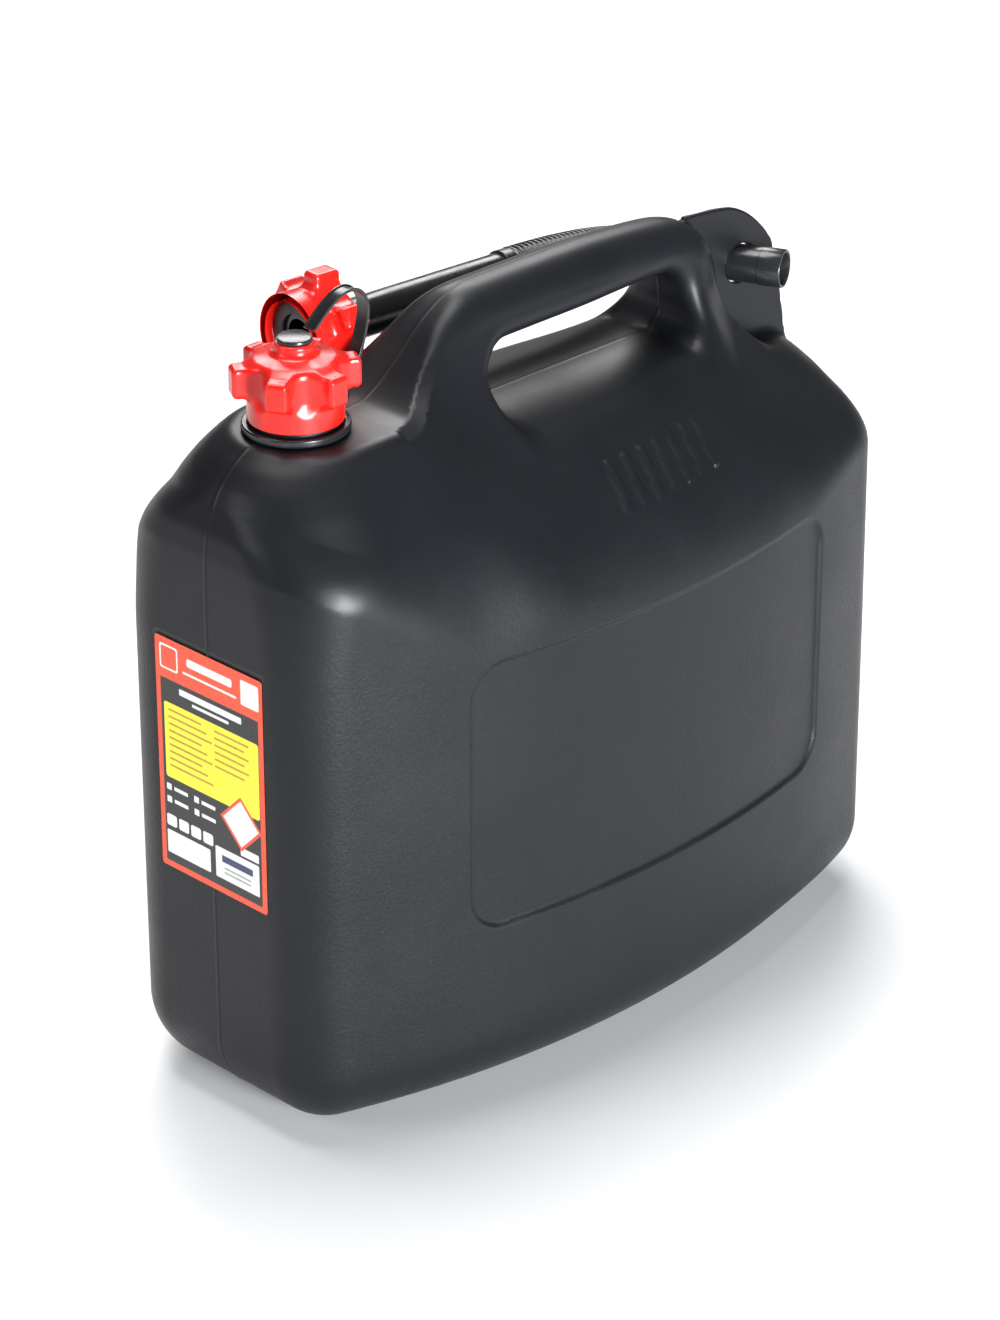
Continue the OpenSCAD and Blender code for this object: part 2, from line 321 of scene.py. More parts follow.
# ---------------------------------------------------------------- materials

class Paint:
    """A material's node tree, with short calls for its nodes."""

    def __init__(self, name):
        self.material = bpy.data.materials.new(name)
        self.material.use_nodes = True
        self.tree = self.material.node_tree
        self.shader = self.tree.nodes["Principled BSDF"]

    def node(self, kind, **inputs):
        made = self.tree.nodes.new("ShaderNode" + kind)
        for key, value in inputs.items():
            self.put(made, key.replace("_", " "), value)
        return made

    def put(self, node, key, value):
        socket = node.inputs[int(key)] if key.isdigit() else node.inputs[key]
        if isinstance(value, bpy.types.NodeSocket):
            self.tree.links.new(value, socket)
        else:
            socket.default_value = value

    def set(self, **inputs):
        for key, value in inputs.items():
            self.put(self.shader, key.replace("_", " "), value)

    def place(self):
        """Where a point is on the piece, in metres."""
        return self.node("TexCoord").outputs["Object"]

    def math(self, operation, a, b=0.0, c=0.0, clamp=False):
        made = self.tree.nodes.new("ShaderNodeMath")
        made.operation = operation
        made.use_clamp = clamp
        for socket, value in zip(made.inputs, (a, b, c)):
            if isinstance(value, bpy.types.NodeSocket):
                self.tree.links.new(value, socket)
            else:
                socket.default_value = value
        return made.outputs[0]

    def split(self, vector):
        return self.node("SeparateXYZ", Vector=vector).outputs

    def noise(self, scale, detail=3.0, rough=0.5, vector=None):
        made = self.node("TexNoise", Scale=scale, Detail=detail, Roughness=rough)
        self.put(made, "Vector", vector or self.place())
        return made.outputs["Fac"]

    def ramp(self, value, low, high, out_low=0.0, out_high=1.0):
        made = self.node("MapRange")
        made.interpolation_type = "SMOOTHSTEP"
        for key, v in (("Value", value), ("From Min", low), ("From Max", high),
                       ("To Min", out_low), ("To Max", out_high)):
            self.put(made, key, v)
        return made.outputs["Result"]

    def mix(self, factor, a, b):
        made = self.tree.nodes.new("ShaderNodeMix")
        made.data_type = "RGBA"
        self.put(made, "0", factor)
        for key, value in (("6", a), ("7", b)):
            self.put(made, key, value)
        return made.outputs[2]

    def bump(self, height, strength, distance, normal=None):
        made = self.node("Bump", Height=height, Strength=strength, Distance=distance)
        if normal is not None:
            self.put(made, "Normal", normal)
        return made.outputs["Normal"]


def can_plastic():
    """Blow-moulded black polyethylene: satin at the top, a fine etched grain below, and light specks painted
    into the lower part's colour as painted sparkle of that grain.
    """
    p = Paint("can_plastic")
    x, y, z = p.split(p.place())[:3]
    lower = p.ramp(z, 0.30, 0.235)
    cloud = p.noise(14.0, 4.0, 0.6)
    speck = p.noise(1500.0, 2.0, 0.6)
    grain = p.node("TexVoronoi", Scale=520.0)
    p.put(grain, "Vector", p.place())
    pits = grain.outputs["Distance"]
    tone = p.mix(cloud, (0.0050, 0.0054, 0.0066, 1), (0.0078, 0.0084, 0.0105, 1))
    # Painted sparkle: light grey specks in the lower body's colour stand in for light glinting off its
    # grain.
    painted_sparkle = p.ramp(speck, 0.62, 0.80, 0.0, 0.5)
    p.set(Base_Color=p.mix(p.math("MULTIPLY", painted_sparkle, lower), tone, (0.05, 0.052, 0.058, 1)))
    satin = p.ramp(cloud, 0.3, 0.7, 0.36, 0.44)
    p.set(Roughness=p.math("ADD", satin, p.math("MULTIPLY", lower, p.ramp(speck, 0.35, 0.7, -0.03, 0.12))))
    p.set(Specular_IOR_Level=0.26, IOR=1.5)
    rough = p.math("MULTIPLY", pits, p.math("MULTIPLY_ADD", lower, 0.9, 0.1))
    fine = p.bump(rough, 0.35, 0.00022)
    p.set(Normal=p.bump(p.noise(55.0, 2.0), 0.06, 0.0012, fine))
    return p.material


def gloss_plastic(name, color, worn, rough=0.27, scale=60.0):
    """Injection-moulded plastic with faint scuffs and a slightly uneven gloss."""
    p = Paint(name)
    cloud = p.noise(scale, 5.0, 0.6)
    scratch = p.node("TexNoise", Scale=90.0, Detail=6.0, Roughness=0.7, Distortion=2.5)
    p.put(scratch, "Vector", p.place())
    marks = p.ramp(scratch.outputs["Fac"], 0.60, 0.72)
    p.set(Base_Color=p.mix(p.math("MULTIPLY", marks, 0.35), color, worn))
    p.set(Roughness=p.math("ADD", p.ramp(cloud, 0.3, 0.7, rough - 0.04, rough + 0.07),
                           p.math("MULTIPLY", marks, 0.12)))
    p.set(Specular_IOR_Level=0.5, IOR=1.5)
    p.set(Normal=p.bump(p.noise(420.0, 3.0), 0.10, 0.00012))
    return p.material


def seal_rubber():
    p = Paint("seal_rubber")
    cloud = p.noise(200.0, 3.0)
    p.set(Base_Color=p.mix(cloud, (0.012, 0.012, 0.013, 1), (0.022, 0.022, 0.024, 1)))
    p.set(Roughness=p.ramp(cloud, 0.3, 0.7, 0.5, 0.65))
    p.set(Normal=p.bump(p.noise(900.0, 2.0), 0.2, 0.0001))
    return p.material


def label_print():
    """A printed film: plain blocks of colour in the places where such a label has its print."""
    p = Paint("label_print")
    low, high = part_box("label")
    x, y, z = p.split(p.place())[:3]
    width, height = high[1] - low[1], high[2] - low[2]
    u = p.math("DIVIDE", p.math("SUBTRACT", high[1], y), width)
    v = p.math("DIVIDE", p.math("SUBTRACT", high[2], z), height)
    across, down = p.math("MULTIPLY", u, width / MM), p.math("MULTIPLY", v, height / MM)

    def block(u0, v0, u1, v1, radius=0.8, grow=0.0):
        """1 inside a rounded rectangle given in shares of the label's width and height."""
        cx, cy = (u0 + u1) / 2 * width / MM, (v0 + v1) / 2 * height / MM
        hx, hy = (u1 - u0) / 2 * width / MM - radius + grow, (v1 - v0) / 2 * height / MM - radius + grow
        dx = p.math("MAXIMUM", p.math("SUBTRACT", p.math("ABSOLUTE", p.math("SUBTRACT", across, cx)), hx), 0)
        dy = p.math("MAXIMUM", p.math("SUBTRACT", p.math("ABSOLUTE", p.math("SUBTRACT", down, cy)), hy), 0)
        far = p.math("SQRT", p.math("ADD", p.math("MULTIPLY", dx, dx), p.math("MULTIPLY", dy, dy)))
        return p.ramp(far, radius + 0.12, radius - 0.12)

    def diamond(u0, v0, half):
        dx = p.math("ABSOLUTE", p.math("SUBTRACT", across, u0 * width / MM))
        dy = p.math("ABSOLUTE", p.math("SUBTRACT", down, v0 * height / MM))
        return p.ramp(p.math("ADD", dx, dy), half + 0.15, half - 0.15)

    red, black, white, yellow = ((0.78, 0.075, 0.022, 1), (0.012, 0.012, 0.013, 1),
                                 (0.80, 0.80, 0.78, 1), (0.86, 0.80, 0.03, 1))
    color = p.mix(block(0.045, 0.175, 0.955, 0.972, 0.6), red, black)
    layers = [
        (block(0.045, 0.03, 0.215, 0.135, 1.5), white), (block(0.058, 0.038, 0.202, 0.127, 1.2), red),
        (block(0.80, 0.03, 0.965, 0.135, 1.0), white),
        (block(0.30, 0.050, 0.72, 0.085, 1.2), white), (block(0.26, 0.112, 0.76, 0.122, 0.3), white),
        (block(0.22, 0.195, 0.80, 0.222, 0.4), white),
        (block(0.34, 0.235, 0.68, 0.248, 0.3), white),
        (block(0.07, 0.275, 0.95, 0.600, 1.6), yellow),
    ]
    for k in range(9):
        top = 0.30 + 0.030 * k
        layers.append((block(0.11, top, 0.42 + 0.05 * (k % 3), top + 0.009, 0.2), (0.45, 0.26, 0.02, 1)))
        if k < 6:
            layers.append((block(0.54, top, 0.86 - 0.04 * (k % 2), top + 0.009, 0.2), (0.45, 0.26, 0.02, 1)))
    for k, (a, b) in enumerate(((0.07, 0.63), (0.33, 0.63), (0.07, 0.685), (0.33, 0.685))):
        layers.append((block(a, b, a + 0.045, b + 0.027, 0.2), white))
        layers.append((block(a + 0.07, b + 0.006, a + 0.20, b + 0.022, 0.2), white))
    for k in range(4):
        layers.append((block(0.06 + 0.115 * k, 0.765, 0.155 + 0.115 * k, 0.815, 1.2), white))
    layers += [
        (block(0.06, 0.835, 0.47, 0.935, 0.8), white),
        (block(0.52, 0.80, 0.93, 0.935, 0.8), white),
        (block(0.76, 0.755, 0.93, 0.79, 0.5), white),
        (block(0.58, 0.83, 0.87, 0.86, 0.5), (0.03, 0.04, 0.12, 1)),
        (block(0.60, 0.88, 0.85, 0.888, 0.2), (0.35, 0.35, 0.35, 1)),
        (block(0.60, 0.90, 0.85, 0.908, 0.2), (0.35, 0.35, 0.35, 1)),
        (diamond(0.77, 0.655, 14.6), red), (diamond(0.77, 0.655, 12.4), white),
    ]
    for mask, paint in layers:
        color = p.mix(mask, color, paint)
    cloud = p.noise(120.0, 3.0)
    p.set(Base_Color=color, Roughness=p.ramp(cloud, 0.3, 0.7, 0.22, 0.34))
    p.set(Specular_IOR_Level=0.5)
    p.set(Normal=p.bump(p.noise(35.0, 2.0), 0.05, 0.0006))
    return p.material


body_black = can_plastic()
red_plastic = gloss_plastic("cap_plastic", (0.66, 0.010, 0.006, 1), (0.80, 0.11, 0.08, 1), 0.24)
trim_plastic = gloss_plastic("trim_plastic", (0.014, 0.014, 0.016, 1), (0.05, 0.05, 0.055, 1), 0.22)
spout_plastic = gloss_plastic("spout_plastic", (0.013, 0.0135, 0.015, 1), (0.045, 0.045, 0.05, 1), 0.25)
rubber = seal_rubber()
film = label_print()


# ---------------------------------------------------------------- can body

body_low, body_high = corners("can_body")
HALF_LEN = body_high[0]
HALF_WID = body_high[1]
HANDLE_Z = body_high[2]
SIDE_R = 535.0
SIDE_CY = HALF_WID - SIDE_R
PLATFORM_Z = 344.5
LEDGE_Z = 300.0
FLOOR_Z = 325.0
GRIP_UNDER_Z = 358.5
FLOOR_CROWN = 0.0028
INCLINE_Z = 315.5
SEAM = 0.3
NECK_X = -145.5
COLLAR_R = 21.8
COLLAR_TOP = PLATFORM_Z + 6.3
BORE_R = 15.5
WEB_HOLE_R = 10.05
TIP = np.array([170, -23.2, 341.5])
TIP_TURN = math.radians(-66.5)
TIP_DIR = np.array([math.cos(TIP_TURN), math.sin(TIP_TURN), 0])

PANEL_X, PANEL_Z, PANEL_R = 7, 169, 19
PANEL_HALF_LEN, PANEL_HALF_HIGH, PANEL_DEPTH = 126, 71, 1.9
RIB_COUNT, RIB_STEP, RIB_X, RIB_Z, RIB_RISE = 7, 11.5, -5, 293.5, 1.1
AREA = ((-215, -10), (215, 396))

label_low, label_high = corners("label")

# The can seen from its broad side: its two ends, its top, the grip opening and the spout's web
ends = np.vstack([
    [(-HALF_LEN, -60), (HALF_LEN, -60), (HALF_LEN, 250)],
    curve([(HALF_LEN, 262), (204.3, 274), (201, 285), (195, 293), (186, 298.5), (174, 302)], 5),
    [(171, 304), (176, 318), (190, 340), (190, 480), (-60, 480)],
    curve([(-120, 392), (-176.4, 343.8), (-185.5, 338), (-193.7, 330.5), (-198.7, 322), (-203.3, 308.6),
           (-204.8, 297), (-HALF_LEN, 284)], 5),
])
tops = np.vstack([
    [(-260, -200), (260, -200), (260, LEDGE_Z - 1)],
    curve([(200, LEDGE_Z - 1), (178, LEDGE_Z), (168, 300.8), (157, 305), (147, 314), (140.5, 326),
           (136.5, 339), (132.5, 353), (126, 365.5), (117.5, 374.5), (107, 380), (90, 383), (58, 385.4),
           (30, HANDLE_Z), (-25, HANDLE_Z), (-42, 385.7), (-53, 382), (-65, 374.6), (-78, 363.3),
           (-92, 351.8), (-103, 345.8), (-114, PLATFORM_Z)], 6),
    [(-260, PLATFORM_Z)],
])
grip_outline = rounded([(-66, FLOOR_Z), (103.5, FLOOR_Z), (99.5, GRIP_UNDER_Z), (-31, GRIP_UNDER_Z)],
                       [15, 12, 13, 15])
web_outline = np.vstack([
    [(118, 285), (198, 285)],
    curve([(195.7, 299), (191.8, 318.8), (185.3, 344.6), (182, 351), (176.4, 357.8), (169, 364.6),
           (161, 369.8), (152.4, 373.4), (142, 375.3), (131, 376.4), (118, 377.5)], 4),
])
# For each end, how far out it reaches and how round its corners are in plan, both by height
end_marks = {
    -1: [(-60, HALF_LEN), (284, HALF_LEN), (297, 204.6), (308.6, 203.0), (322, 198.4), (330.5, 193.2),
         (338, 185.5), (343.8, 176.4), (364, 150), (480, 60)],
    1: [(-60, HALF_LEN), (262, HALF_LEN), (274, 204.0), (285, 200.6), (293, 194.6), (298.5, 186),
        (302, 174), (308, 172), (318, 176), (340, 190), (480, 200)],
}
end_radius = {
    -1: [(-60, 36), (250, 36), (280, 44), (294, 51), (306, 54), (318, 51), (330, 47), (345, 42), (480, 40)],
    1: [(-60, 31), (150, 34), (255, 38), (285, 46), (480, 46)],
}
ends_at = Table(lambda x, z: outline_distance(x, z, ends), *AREA, 1.0)
tops_at = Table(lambda x, z: outline_distance(x, z, tops), *AREA, 0.7)
grip_at = Table(lambda x, z: outline_distance(x, z, grip_outline), (-110, 290), (140, 396), 0.7)
web_at = Table(lambda x, z: outline_distance(x, z, web_outline), (100, 275), (215, 390), 0.7)


def wall_width(x, z):
    """Half the can's thickness at (x, z), before its edges are rounded."""
    bowed = np.sqrt(SIDE_R**2 - np.clip(x, -210, 210) ** 2) + SIDE_CY
    at = stations(x, [(-118, 59.5), (-45, 54), (20, 53), (85, 44), (205, -5)])
    lean = stations(x, [(-118, 0.6745), (-62, 0.9325), (105, 0.9325), (190, 1.376)])
    bend = stations(x, [(-180, 10), (-90, 24), (80, 24), (160, 16)])
    incline = soft_min(bowed, at + (INCLINE_Z - z) * lean, bend)
    post = stations(x, [(112, 18.3), (134, 13.5), (152, 15)])
    flare = stations(x, [(-112, 8), (-62, 30), (108, 30), (140, 8)])
    return soft_max(incline, post, flare)


width_at = Table(wall_width, *AREA, 1.0)


def steepness(x, z):
    h = 1.0
    dz = (wall_width(x, z + h) - wall_width(x, z - h)) / (2 * h)
    dx = (wall_width(x + h, z) - wall_width(x - h, z)) / (2 * h)
    return np.sqrt(1 + dz * dz + dx * dx)


steep_at = Table(steepness, *AREA, 1.0)
plan_slope_at = Table(lambda x, z: (wall_width(x + 1, z) - wall_width(x - 1, z)) / 2,
                      *AREA, 1.0)


def lean_between(first, second):
    """A table of the cosine between the normals of two of the can's faces, each a function of (x, z)."""
    def across(of, x, z):
        h = 1.0
        gx, gz = (of(x + h, z) - of(x - h, z)) / (2 * h), (of(x, z + h) - of(x, z - h)) / (2 * h)
        if of is width_at:
            return -gx, -gz, np.ones_like(gx)
        return gx, gz, np.zeros_like(gx)

    def cosine(x, z):
        ax, az, ay = across(first, x, z)
        bx, bz, by = across(second, x, z)
        size = np.sqrt(ax * ax + ay * ay + az * az) * np.sqrt(bx * bx + by * by + bz * bz)
        return np.clip((ax * bx + az * bz + ay * by) / np.maximum(size, 1e-6), -0.7, 0.8)
    table = Table(cosine, *AREA, 2.0)
    for _ in range(4):
        v = np.pad(table.values, 1, mode="edge")
        v = (v[:-2] + 2 * v[1:-1] + v[2:]) / 4
        table.values = (v[:, :-2] + 2 * v[:, 1:-1] + v[:, 2:]) / 4
    return table


side_to_top = lean_between(width_at, tops_at)
end_to_top = lean_between(ends_at, tops_at)


def panel_depth(x, z):
    """The shallow recess in the broad sides."""
    dx = np.maximum(np.abs(x - PANEL_X) - (PANEL_HALF_LEN - PANEL_R), 0)
    dz = np.maximum(np.abs(z - PANEL_Z) - (PANEL_HALF_HIGH - PANEL_R), 0)
    edge = np.hypot(dx, dz) - PANEL_R
    return PANEL_DEPTH * ease(1.6, -1.6, edge)


def rib_height(x, z):
    """A row of plain raised ribs on the shoulder under the grip."""
    out = np.zeros_like(x)
    for k in range(RIB_COUNT):
        cx = RIB_X + RIB_STEP * k
        along = (z - RIB_Z) * 1.35
        dx = np.maximum(np.abs(x - cx - 0.12 * along) - 1.2, 0)
        dz = np.maximum(np.abs(along) - 12.5, 0)
        out = np.maximum(out, RIB_RISE * ease(2.0, 0.6, np.hypot(dx, dz)))
    return out


def smooth_line(marks, blur=7):
    """A function of height through marks, a list of (height, value), with its kinks rounded."""
    heights = np.arange(-60, 480, 1.0)
    values = np.interp(heights, *zip(*marks))
    kernel = np.hanning(blur + 2)[1:-1]
    values = np.convolve(np.pad(values, blur // 2, mode="edge"), kernel / kernel.sum(), "valid")
    return heights, values


def follow(line):
    return lambda z: np.interp(z, *line)


end_at, end_slant, radius_at = {}, {}, {}
for sign in (-1, 1):
    line = smooth_line(end_marks[sign])
    end_at[sign] = follow(line)
    end_slant[sign] = follow((line[0], np.clip(np.hypot(1, np.gradient(line[1])), 1, 3)))
    radius_at[sign] = follow(smooth_line(end_radius[sign], 15))


def body_field(p):
    """The can: broad sides, ends, base and top rounded together, then the openings cut in it."""
    x, y, z = p[:, 0], np.abs(p[:, 1]), p[:, 2]
    end, top = ends_at(x, z), tops_at(x, z)
    side = (y - width_at(x, z) + panel_depth(x, z)) / steep_at(x, z) - rib_height(x, z)
    slope_x = plan_slope_at(x, z)
    turned_in = np.sqrt(1 + slope_x**2)
    sideways = np.maximum(steep_at(x, z) * side / turned_in, -90)
    wall = np.full_like(x, -1e3)
    for sign in (-1, 1):
        near = x * sign > 0
        beyond = sign * x - end_at[sign](z)
        plan_r = radius_at[sign](z)
        lean = np.clip(-sign * slope_x / turned_in, -0.3, 0.6)
        wall = np.where(near, round_max(sideways, beyond, plan_r, lean), wall)
    tilt = steep_at(x, z) / turned_in
    slant = np.where(x > 0, end_slant[1](z), end_slant[-1](z))
    wall = wall / (tilt + (slant - tilt) * ease(-12, 12, end - side))
    base_r = stations(x, [(-160, 40), (100, 40), (200, 34)])
    shape = round_max(wall, -z, base_r)
    top_r = stations(x, [(-116, 9), (-94, 6), (-60, 13), (-40, 17), (110, 17), (128, 12), (150, 9)])
    at_end = ease(-8, 8, end - side)
    lean = side_to_top(x, z) * (1 - at_end) + end_to_top(x, z) * at_end
    shape = round_max(shape, top, top_r, lean)
    chamfer = stations(x, [(-128, -9), (-112, 3.0), (-58, 3.0), (-36, -9)])
    shape = round_max(shape, (side + top) * 0.62 + chamfer, 3.0, 0.85)
    crown = FLOOR_CROWN * np.minimum(y, 60) ** 2 * ease(352, 332, z)
    rim = stations(z, [(322, 6.5), (350, 10.5)])
    shape = round_max(shape, -grip_at(x, z + crown), rim)
    web = round_max(y - 2, web_at(x, z), 0.9)
    from_tip = p - TIP
    hole = np.linalg.norm(np.cross(from_tip, TIP_DIR), axis=1) - WEB_HOLE_R
    web = round_max(web, -hole, 0.9)
    shape = round_min(shape, web, 3.0)
    collar = np.hypot(p[:, 0] - NECK_X, p[:, 1])
    foot = round_max(collar - COLLAR_R, z - COLLAR_TOP, 0.8)
    shape = round_min(shape, foot, 1.5)
    shape = round_max(shape, -np.maximum(collar - BORE_R, 280 - z), 0.8)
    recess = np.maximum(np.abs(p[:, 1]) - (label_high[1] + 0.6),
                        np.maximum(label_low[2] - 0.6 - z, z - label_high[2] - 0.6))
    pocket = np.maximum(recess, x + HALF_LEN - 0.5)
    shape = np.maximum(shape, -pocket)
    return shape + SEAM * (1 - np.exp(-((y / 0.55) ** 2)))


def mirror_lines(stops):
    half = lines(stops)
    return np.concatenate([-half[:0:-1], half])


body_grid = (
    lines([(-208, 2.3), (-196, 3.8), (-124, 1.2), (-98, 2.3), (-70, 2.1), (-28, 3.3), (-12, 1.8),
           (76, 2.7), (88, 2.1), (110, 1.2), (138, 1.9), (174, 2.5), (208, 2.5)]),
    mirror_lines([(0, 0.45), (0.9, 0.7), (3.0, 2.6), (26, 3.1), (53, 3.9), (104, 3.9)]),
    lines([(-2, 3.0), (34, 8.6), (94, 1.2), (119, 9.0), (219, 1.2), (243, 3.0), (266, 2.2), (303, 1.9),
           (348, 2.1), (389, 2.1)]),
)
can = field_piece("can_shell", body_field, body_grid, body_black, 0.45,
                  box=(body_low, body_high))
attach(can, "can")
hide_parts("can_body")


# ---------------------------------------------------------------- label

def label_sheet():
    """The label, a thin film with small round corners."""
    low, high = label_low, label_high
    t = 0.12
    outline = rounded([(low[1] + 0.2, low[2] + 0.2), (high[1] - 0.2, low[2] + 0.2),
                       (high[1] - 0.2, high[2] - 0.2), (low[1] + 0.2, high[2] - 0.2)], [1.5] * 4, 6)
    n = len(outline)
    front = [(low[0] + 0.3, y, z) for y, z in outline]
    back = [(low[0] + 0.3 + t, y, z) for y, z in outline]
    faces = [tuple(range(n))[::-1], tuple(range(n, 2 * n))]
    faces += [(i, (i + 1) % n, n + (i + 1) % n, n + i) for i in range(n)]
    made = piece("label_film", front + back, faces, film)
    keep_edges(made, 30)
    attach(made, "can")
    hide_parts("label")


label_sheet()


# ---------------------------------------------------------------- cap and nut

SKIRT_Z = corners("filler_cap")[0][2]
ROOF = 17.0
NUT_AT = np.array([-93.7, 59, 356.5])
PIPE_TURN = math.radians(-4.5)
PIPE_DIR = np.array([math.cos(PIPE_TURN), math.sin(PIPE_TURN), 0])


def lobed_field(q, thread=0.0):
    """The shell that cap and nut share, open at z = 0, with six lobes and a scoop between each two."""
    z = q[:, 2]
    rad, angle = np.hypot(q[:, 0], q[:, 1]), np.arctan2(q[:, 1], q[:, 0])
    dome = (z - 31.1 + 0.26 * (rad - 9.8)) / 1.033
    shape = round_max(rad - 22.9, dome, 4.5)
    sixth = math.pi / 3
    turn = (angle % sixth) - sixth / 2
    u, v = rad * np.cos(turn), np.abs(rad * np.sin(turn))
    lobe = round_max(round_max(v - 6.3, u - 30.7, 2.8), np.abs(z - 19.2) - 7.4, 2.4)
    shape = round_min(shape, lobe, 4.0)
    across = sixth / 2 - np.abs(turn)
    scoop = np.sqrt((rad * np.cos(across) - 31.6) ** 2 + (rad * np.sin(across)) ** 2
                    + np.minimum(z - 14, 0) ** 2) - 10.4
    shape = round_max(shape, -scoop, 1.6)
    ridge = thread * np.cos(2 * math.pi * (z / 4.0) - angle) * ease(1.5, 4, z) * ease(ROOF, ROOF - 2.5, z)
    bore = np.maximum(rad - 18.9 + ridge, z - ROOF)
    return round_max(shape, -bore, 0.6)


def cap_field(q):
    z, rad = q[:, 2], np.hypot(q[:, 0], q[:, 1])
    boss = round_max(rad - 9.7, z - 36.35, 1.3)
    shape = round_min(lobed_field(q, 0.35), np.maximum(boss, 27 - z), 2.6)
    shape = np.maximum(shape, -np.maximum(rad - 15, z - 23))
    return np.maximum(shape, -np.maximum(rad - 4.6, 28.4 - z))


def nut_field(q):
    rad = np.hypot(q[:, 0], q[:, 1])
    return round_max(lobed_field(q, 0.45), 11.0 - rad, 0.8)


def lobed_grid(top):
    flat = lines([(-32, 0.8), (32, 0.8)])
    return flat, flat, lines([(-1.6, 0.8), (top, 0.8)])


cap = field_piece("cap_shell", cap_field, lobed_grid(38.4), red_plastic,
                  origin=(NECK_X, 0, SKIRT_Z))
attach(cap, "cap")
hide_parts("filler_cap")

sine, cosine = math.sin(math.radians(30)), math.cos(math.radians(30))
nut_turn = (np.column_stack([PIPE_DIR, [-PIPE_DIR[1], PIPE_DIR[0], 0], [0, 0, 1]])
            @ np.array([[0, 0, 1], [0, 1, 0], [-1, 0, 0]])
            @ np.array([[cosine, -sine, 0], [sine, cosine, 0], [0, 0, 1]]))
nut = field_piece("nut_shell", nut_field, lobed_grid(33.6), red_plastic,
                  turn=nut_turn, origin=NUT_AT)
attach(nut, "nut")
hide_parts("spout_nut")


# ---------------------------------------------------------------- neck, seals, ring, strap and button

UP = np.array([0, 0, 1.0])


def neck_thread():
    """The neck, with one thread round it and a plain lip."""
    sides = 96
    a = np.linspace(0, 2 * math.pi, sides, endpoint=False)
    rows = []
    for z in np.linspace(346, 366.9, 56):
        ridge = np.cos(2 * math.pi * z / 4.0 - a)
        ridge = 1.1 * ease(0.1, 0.75, ridge) * ease(350.5, 353, z) * ease(365.5, 363.5, z)
        rows.append((17.35 + ridge - 0.5 * ease(366.2, 366.9, z), z))
    rows += [(15.9, 366.9), (15.55, 366.5), (15.55, 346.0)]
    points = np.vstack([
        np.column_stack([NECK_X + r * np.cos(a), r * np.sin(a), np.full(sides, z)]) for r, z in rows])
    made = piece("neck_thread", points, tube_faces(len(rows), sides, True), body_black)
    keep_edges(made, 50)
    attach(made, "can")


def ring_field(p):
    x, y, z = p[:, 0] - NECK_X, p[:, 1], p[:, 2]
    flat = np.abs(z - 346.8)
    ring = round_max(np.abs(np.hypot(x, y) - 24.1) - 1.8, flat - 1.95, 1.0)
    tab = round_max(round_max(np.abs(x - 25.5) - 2.2, np.abs(y) - 3.7, 0.8), flat - 1.95, 0.8)
    return round_min(ring, tab, 1.5)


def seal_ring(name, origin, axis, inner, outer, low, high, body, node):
    r = 0.3
    profile = [(low, inner + r), (low, outer - r), (low + r, outer), (high - r, outer), (high, outer - r),
               (high, inner + r), (high - r, inner), (low + r, inner)]
    made = profile_piece(name, origin, axis, profile, rubber, 64)
    keep_edges(made, 50)
    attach(made, body)
    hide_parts(node)


def cubic(a, b, c, d, t):
    return a * (1 - t) ** 3 + 3 * b * t * (1 - t) ** 2 + 3 * c * t * t * (1 - t) + d * t**3


def tether_strap():
    """A flat band with raised edges, from the button over the cap's edge down to the ring's tab."""
    knots = np.array([(-135.9, 390.8), (-128, 398), (-120, 405), (-112, 404.5), (-104, 404), (-100.5, 396),
                      (-102, 388), (-104, 376), (-112, 359), (-116.6, 350.1)])
    t = np.linspace(0, 1, 17)[:, None]
    path = np.vstack([cubic(*knots[k:k + 4], t[(k > 0):]) for k in (0, 3, 6)])
    along = np.gradient(path, axis=0)
    along /= np.linalg.norm(along, axis=1, keepdims=True)
    out = np.column_stack([-along[:, 1], along[:, 0]])
    half = [(3.5, -0.75), (3.7, -0.55), (3.7, 0.7), (3.55, 0.86), (3.05, 0.86), (2.85, 0.7), (2.7, 0.2)]
    section = half + [(-y, h) for y, h in half[::-1]]
    points = [(p[0] + h * o[0], y, p[1] + h * o[1]) for p, o in zip(path, out) for y, h in section]
    n = len(section)
    last = range(len(points) - n, len(points))
    faces = [f[::-1] for f in tube_faces(len(path), n)] + [tuple(range(n)), tuple(last)[::-1]]
    made = piece("strap_band", points, faces, trim_plastic)
    keep_edges(made, 28)
    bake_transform(made)
    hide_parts("tether_strap")


neck_thread()
ring = field_piece("ring_band", ring_field,
                   (lines([(NECK_X - 27, 0.6), (NECK_X + 29, 0.6)]), lines([(-27, 0.6), (27, 0.6)]),
                    lines([(344, 0.5), (349.5, 0.5)])), trim_plastic, 0.15)
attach(ring, "can")
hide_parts("tether_ring")
tether_strap()
button = profile_piece(
    "button_disc", (NECK_X, 0, 0), UP,
    [(381.3, 0.2), (381.3, 4.0), (381.7, 4.4), (388.4, 4.4), (388.4, 7.9), (388.9, 8.45), (389.8, 8.45),
     (390.4, 8.1), (390.62, 7.4), (390.64, 0.2)],
    trim_plastic, 64, False)
keep_edges(button, 40)
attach(button, "tether_end")
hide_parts("tether_button")
seal_ring("cap_gasket", (NECK_X, 0, 0), UP, 10.05, 18.4, 367.12, 368.75, "cap", "cap_seal")


# ---------------------------------------------------------------- spout

PIPE_END = 132
TIP_LEN = 55
AIR_TUBE_UP = 5.4
HOSE_START = NUT_AT + PIPE_END * PIPE_DIR
HOSE_END = TIP - TIP_LEN * TIP_DIR


